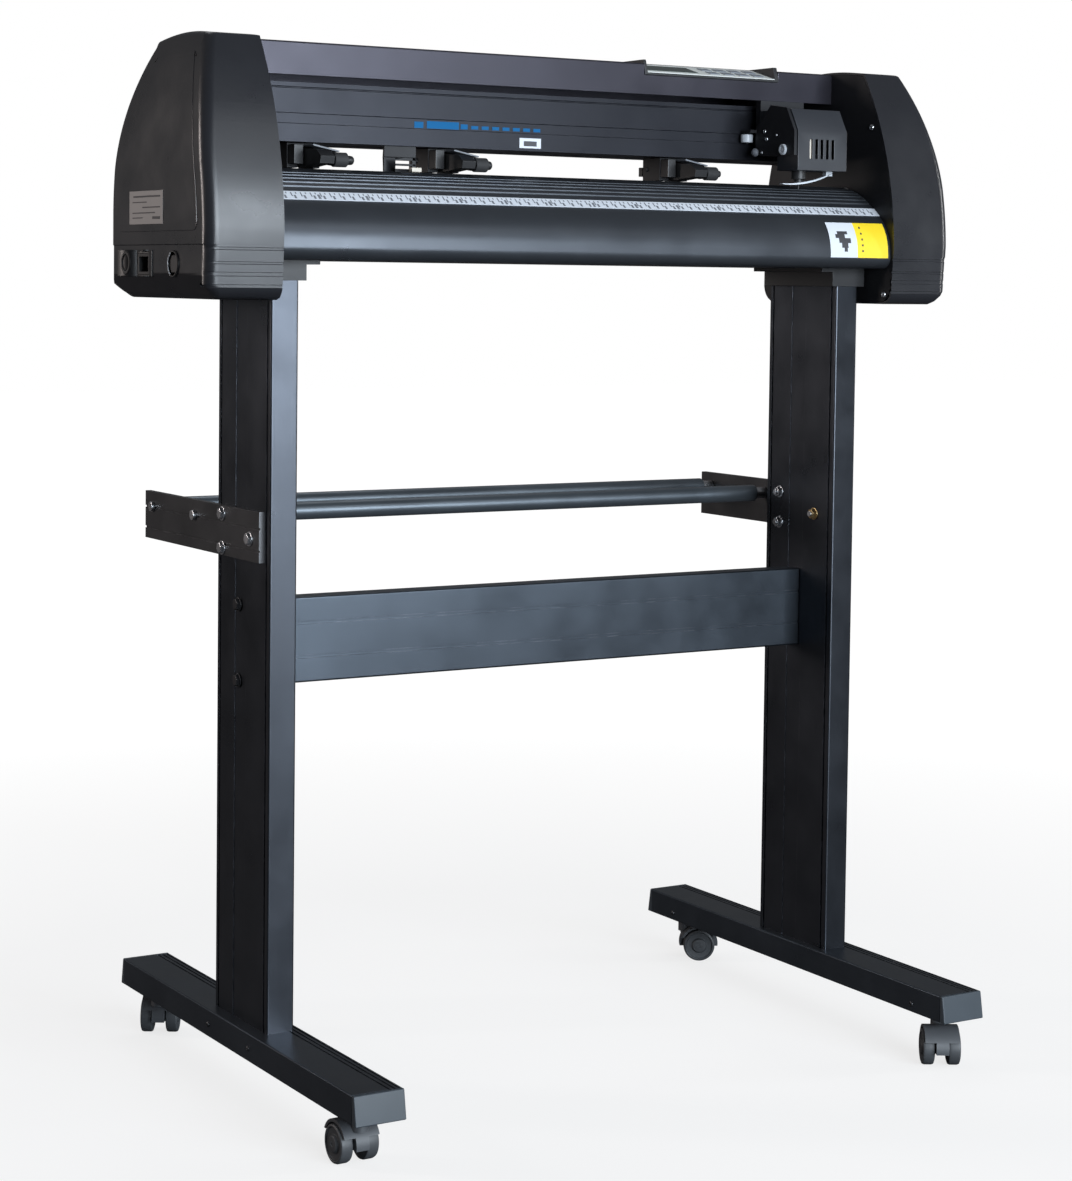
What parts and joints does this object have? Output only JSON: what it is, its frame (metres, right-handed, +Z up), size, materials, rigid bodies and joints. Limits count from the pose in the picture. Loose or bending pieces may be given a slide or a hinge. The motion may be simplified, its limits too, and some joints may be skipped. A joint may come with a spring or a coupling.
{
  "type": "vinyl cutter",
  "caption": "Desktop-width roll-fed vinyl cutter on a wheeled aluminium stand: a blade carriage runs along a beam while a grit roller feeds the vinyl past it.",
  "frame": {"origin": "on the floor below the middle of the stand", "axes": "+Z up, +X along the guide beam towards the control panel end, -Y the front where the vinyl comes out"},
  "size_m": [0.855, 0.537, 1.0155],
  "materials": {
    "leg_aluminium": "anodised, bead edged",
    "dark_steel": "satin dark powder coat",
    "dark_anodised": "dark blue-grey anodised, satin",
    "cap_plastic": "moulded, fine grain",
    "black_plastic": "moulded, fine spark-eroded grain",
    "cover_plastic": "moulded, fine grain",
    "castor_plastic": "moulded",
    "wheel_plastic": "moulded grey tread",
    "zinc": "zinc plated",
    "bolt_black": "black oxide",
    "bright_steel": "ground steel",
    "plate_steel": "black coated sheet",
    "platen_metal": "satin black anodised extrusion",
    "ruler_white": "printed strip",
    "overlay": "printed membrane",
    "motor_metal": "black end bells",
    "belt_rubber": "toothed belt",
    "roller_rubber": "moulded",
    "pale_plastic": "moulded, pale",
    "board_green": "solder mask",
    "supply_steel": "galvanised case",
    "carriage_plastic": "moulded"
  },
  "bodies": {
    "stand": {"left_leg": "leg_aluminium", "right_leg": "leg_aluminium", "left_foot": "dark_anodised", "right_foot": "dark_anodised", "foot_end_caps": "cap_plastic", "cross_rail": "dark_anodised", "stand_bolts": "bolt_black", "left_roll_bracket": "dark_anodised", "right_roll_bracket": "dark_anodised", "roller_axles": "zinc", "head_saddles": "dark_steel", "left_end_cover": "cover_plastic", "right_end_cover": "cover_plastic", "left_side_plate": "plate_steel", "right_side_plate": "plate_steel", "cover_screws": "zinc", "platen": "platen_metal", "ruler_strip": "ruler_white", "guide_beam": "dark_anodised", "beam_hood": "dark_anodised", "panel_frame": "black_plastic", "panel_overlay": "overlay", "grit_bearings": "bright_steel", "feed_motor": "motor_metal", "feed_belt": "belt_rubber", "carriage_belt": "belt_rubber", "carriage_motor": "motor_metal", "power_inlet": "black_plastic", "fuse_holder": "zinc", "power_supply": "supply_steel", "main_board": "board_green"},
    "front_roller": {"front_media_roller": "dark_anodised"},
    "rear_roller": {"rear_media_roller": "dark_anodised"},
    "grit_roller": {"grit_shaft": "bright_steel"},
    "feed_motor_rotor": {"feed_motor_pulley": "bright_steel"},
    "drive_pulley": {"drive_pulley": "bright_steel"},
    "idler_pulley": {"idler_pulley": "bright_steel"},
    "carriage": {"carriage_block": "carriage_plastic", "carriage_cover": "carriage_plastic"},
    "guide_roller": {"guide_roller": "pale_plastic"},
    "tool": {"tool_slide": "bright_steel", "blade_holder": "black_plastic"},
    "rocker": {"power_rocker": "black_plastic"},
    "fork_front_left": {"caster_fork_front_left": "castor_plastic"},
    "wheels_front_left": {"caster_wheels_front_left": "wheel_plastic"},
    "fork_front_right": {"caster_fork_front_right": "castor_plastic"},
    "wheels_front_right": {"caster_wheels_front_right": "wheel_plastic"},
    "fork_rear_left": {"caster_fork_rear_left": "castor_plastic"},
    "wheels_rear_left": {"caster_wheels_rear_left": "wheel_plastic"},
    "fork_rear_right": {"caster_fork_rear_right": "castor_plastic"},
    "wheels_rear_right": {"caster_wheels_rear_right": "wheel_plastic"},
    "pinch_mount_1": {"pinch_mount_1": "dark_steel"},
    "pinch_arm_1": {"pinch_arm_1": "black_plastic"},
    "pinch_roller_1": {"pinch_roller_1": "roller_rubber"},
    "pinch_mount_2": {"pinch_mount_2": "dark_steel"},
    "pinch_arm_2": {"pinch_arm_2": "black_plastic"},
    "pinch_roller_2": {"pinch_roller_2": "roller_rubber"},
    "pinch_mount_3": {"pinch_mount_3": "dark_steel"},
    "pinch_arm_3": {"pinch_arm_3": "black_plastic"},
    "pinch_roller_3": {"pinch_roller_3": "roller_rubber"}
  },
  "joints": [
    {"name": "front_roller_spin", "type": "hinge", "parent": "stand", "child": "front_roller", "pos_m": [0, 0.101, 0.553], "axis": [1, 0, 0], "continuous": true},
    {"name": "rear_roller_spin", "type": "hinge", "parent": "stand", "child": "rear_roller", "pos_m": [0, 0.205, 0.553], "axis": [1, 0, 0], "continuous": true},
    {"name": "swivel_front_left", "type": "hinge", "parent": "stand", "child": "fork_front_left", "pos_m": [-0.3295, -0.228, 0.058], "axis": [0, 0, 1], "continuous": true},
    {"name": "wheel_spin_front_left", "type": "hinge", "parent": "fork_front_left", "child": "wheels_front_left", "pos_m": [-0.3295, -0.212, 0.018], "axis": [-1, 0, 0], "continuous": true},
    {"name": "swivel_front_right", "type": "hinge", "parent": "stand", "child": "fork_front_right", "pos_m": [0.3295, -0.228, 0.058], "axis": [0, 0, 1], "continuous": true},
    {"name": "wheel_spin_front_right", "type": "hinge", "parent": "fork_front_right", "child": "wheels_front_right", "pos_m": [0.32126, -0.24172, 0.018], "axis": [0.8572, -0.515, 0], "continuous": true},
    {"name": "swivel_rear_left", "type": "hinge", "parent": "stand", "child": "fork_rear_left", "pos_m": [-0.3295, 0.228, 0.058], "axis": [0, 0, 1], "continuous": true},
    {"name": "wheel_spin_rear_left", "type": "hinge", "parent": "fork_rear_left", "child": "wheels_rear_left", "pos_m": [-0.32126, 0.24172, 0.018], "axis": [-0.8572, 0.515, 0], "continuous": true},
    {"name": "swivel_rear_right", "type": "hinge", "parent": "stand", "child": "fork_rear_right", "pos_m": [0.3295, 0.228, 0.058], "axis": [0, 0, 1], "continuous": true},
    {"name": "wheel_spin_rear_right", "type": "hinge", "parent": "fork_rear_right", "child": "wheels_rear_right", "pos_m": [0.34321, 0.21976, 0.018], "axis": [0.515, 0.8572, 0], "continuous": true},
    {"name": "carriage_travel", "type": "slide", "parent": "stand", "child": "carriage", "axis": [1, 0, 0], "range_m": [-0.56, 0.035]},
    {"name": "tool_lift", "type": "slide", "parent": "carriage", "child": "tool", "axis": [0, 0, 1], "range_m": [-0.0065, 0], "stiffness_N_per_m": 400, "springref_m": 0.004},
    {"name": "drive_pulley_spin", "type": "hinge", "parent": "stand", "child": "drive_pulley", "pos_m": [0.376, 0.03, 0.991], "axis": [0, 0, 1], "continuous": true},
    {"name": "idler_pulley_spin", "type": "hinge", "parent": "stand", "child": "idler_pulley", "pos_m": [-0.335, 0.03, 0.991], "axis": [0, 0, 1], "continuous": true},
    {"name": "guide_roller_spin", "type": "hinge", "parent": "carriage", "child": "guide_roller", "pos_m": [0.2365, -0.0003, 0.9385], "axis": [0, 0, 1], "continuous": true},
    {"name": "grit_roller_spin", "type": "hinge", "parent": "stand", "child": "grit_roller", "pos_m": [0, -0.022, 0.88], "axis": [1, 0, 0], "continuous": true},
    {"name": "feed_motor_spin", "type": "hinge", "parent": "stand", "child": "feed_motor_rotor", "pos_m": [-0.409, 0.05, 0.85], "axis": [1, 0, 0], "continuous": true},
    {"name": "pinch_1_position", "type": "slide", "parent": "stand", "child": "pinch_mount_1", "axis": [1, 0, 0], "range_m": [-0.03, 0.032]},
    {"name": "pinch_1_lower", "type": "hinge", "parent": "pinch_mount_1", "child": "pinch_arm_1", "pos_m": [-0.27, 0.042, 0.904], "axis": [1, 0, 0], "range_deg": [0, 2.4]},
    {"name": "pinch_1_spin", "type": "hinge", "parent": "pinch_arm_1", "child": "pinch_roller_1", "pos_m": [-0.254, -0.022, 0.899], "axis": [1, 0, 0], "continuous": true},
    {"name": "pinch_2_position", "type": "slide", "parent": "stand", "child": "pinch_mount_2", "axis": [1, 0, 0], "range_m": [-0.015, 0.05]},
    {"name": "pinch_2_lower", "type": "hinge", "parent": "pinch_mount_2", "child": "pinch_arm_2", "pos_m": [-0.116, 0.042, 0.904], "axis": [1, 0, 0], "range_deg": [0, 2.4]},
    {"name": "pinch_2_spin", "type": "hinge", "parent": "pinch_arm_2", "child": "pinch_roller_2", "pos_m": [-0.1, -0.022, 0.899], "axis": [1, 0, 0], "continuous": true},
    {"name": "pinch_3_position", "type": "slide", "parent": "stand", "child": "pinch_mount_3", "axis": [1, 0, 0], "range_m": [-0.05, 0.05]},
    {"name": "pinch_3_lower", "type": "hinge", "parent": "pinch_mount_3", "child": "pinch_arm_3", "pos_m": [0.159, 0.042, 0.904], "axis": [1, 0, 0], "range_deg": [0, 2.4]},
    {"name": "pinch_3_spin", "type": "hinge", "parent": "pinch_arm_3", "child": "pinch_roller_3", "pos_m": [0.175, -0.022, 0.899], "axis": [1, 0, 0], "continuous": true},
    {"name": "power_switch", "type": "hinge", "parent": "stand", "child": "rocker", "pos_m": [-0.4186, -0.031, 0.798], "axis": [0, 0, 1], "range_deg": [-8, 8]}
  ],
  "couplings": [
    {"joint": "drive_pulley_spin", "follows": "carriage_travel", "rad_per_m": 100},
    {"joint": "idler_pulley_spin", "follows": "carriage_travel", "rad_per_m": 100},
    {"joint": "guide_roller_spin", "follows": "carriage_travel", "rad_per_m": 153.85},
    {"joint": "feed_motor_spin", "follows": "grit_roller_spin", "ratio": 2.3333}
  ]
}
